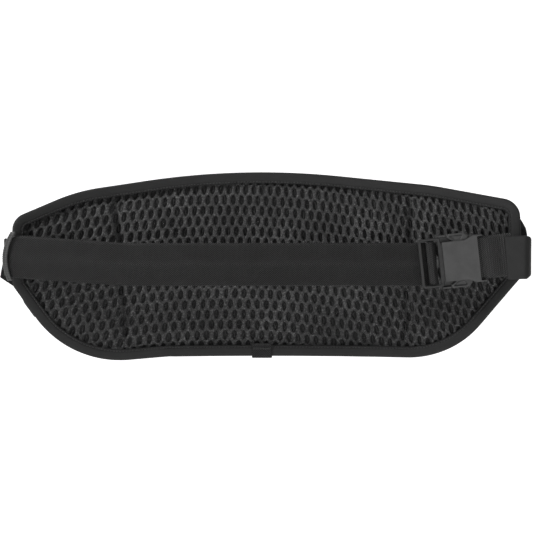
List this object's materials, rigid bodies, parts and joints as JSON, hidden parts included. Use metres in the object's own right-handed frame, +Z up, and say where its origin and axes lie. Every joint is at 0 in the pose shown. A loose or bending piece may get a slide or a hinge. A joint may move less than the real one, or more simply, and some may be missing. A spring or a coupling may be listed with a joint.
{
  "type": "money belt",
  "caption": "Padded waist money belt with a spacer-mesh back panel, a zipped curved pocket, a webbing strap and a side-release buckle.",
  "frame": {"origin": "centre of the waist opening, half-way up the panel", "axes": "+X along the belt to the right seen from the wearer's side, +Y from the strap towards the pocket, +Z up as worn"},
  "size_m": [0.3737, 0.0801, 0.1352],
  "materials": {
    "spacer_mesh": "3D spacer mesh, matt black",
    "foam": "closed-cell foam inside the panel, hidden",
    "lining": "plain-woven lining",
    "shell_fabric": "woven black nylon, matt",
    "binding_tape": "folded binding tape, matt black",
    "webbing": "herringbone webbing, slight sheen",
    "flap_fabric": "fine-woven folded webbing",
    "elastic": "ribbed elastic tape",
    "buckle_plastic": "moulded acetal, fine spark texture",
    "zip_tape": "woven zip tape",
    "zip_coil": "nylon coil",
    "zip_metal": "black-painted die casting",
    "grip_rubber": "moulded soft grip",
    "thread": "polyester thread"
  },
  "bodies": {
    "belt": {"spacer_mesh": "spacer_mesh", "foam_left": "foam", "foam_centre": "foam", "foam_right": "foam", "backing_fabric": "lining", "edge_binding": "binding_tape", "pocket_front": "shell_fabric", "zip_tape_upper": "zip_tape", "zip_tape_lower": "zip_tape", "zip_coil_upper": "zip_coil", "zip_coil_lower": "zip_coil", "zip_top_stops": "zip_metal", "zip_bottom_stop": "zip_metal", "wing_left": "shell_fabric", "wing_right": "shell_fabric", "main_strap": "webbing", "strap_tail": "webbing", "right_flap": "flap_fabric", "buckle_webbing": "webbing", "bottom_tab": "binding_tape", "bar_tacks": "thread", "buckle_socket": "buckle_plastic"},
    "buckle_plug": {"buckle_plug": "buckle_plastic", "strap_wrap": "webbing"},
    "squeeze_arm_upper": {"squeeze_arm_upper": "buckle_plastic"},
    "squeeze_arm_lower": {"squeeze_arm_lower": "buckle_plastic"},
    "zip_slider": {"zip_slider": "zip_metal"},
    "zip_puller": {"puller_tab": "zip_metal", "puller_grip": "grip_rubber"},
    "strap_keeper": {"strap_keeper": "elastic"}
  },
  "joints": [
    {"name": "buckle_release", "type": "slide", "parent": "belt", "child": "buckle_plug", "axis": [-0.9936, 0, -0.1132], "range_m": [0, 0.03], "deforming": ["squeeze_arm_upper", "squeeze_arm_lower"]},
    {"name": "squeeze_upper", "type": "hinge", "parent": "buckle_plug", "child": "squeeze_arm_upper", "pos_m": [0.1241, -0.0291, 0.01539], "axis": [0, 1, 0], "range_deg": [0, 9], "stiffness_Nm_per_rad": 0.48},
    {"name": "squeeze_lower", "type": "hinge", "parent": "buckle_plug", "child": "squeeze_arm_lower", "pos_m": [0.12647, -0.0291, -0.00547], "axis": [0, -1, 0], "range_deg": [0, 9], "stiffness_Nm_per_rad": 0.48},
    {"name": "zip_travel", "type": "hinge", "parent": "belt", "child": "zip_slider", "pos_m": [0, -0.417, 0], "axis": [0, 0, -1], "range_deg": [0, 27]},
    {"name": "puller_lift", "type": "hinge", "parent": "zip_slider", "child": "zip_puller", "pos_m": [-0.10771, 0.03166, 0.03029], "axis": [0.9724, 0.2334, 0], "range_deg": [0, 120]},
    {"name": "keeper_slide", "type": "slide", "parent": "belt", "child": "strap_keeper", "axis": [0.9975, 0, -0.0705], "range_m": [0, 0.06], "deforming": ["strap_keeper"]}
  ]
}
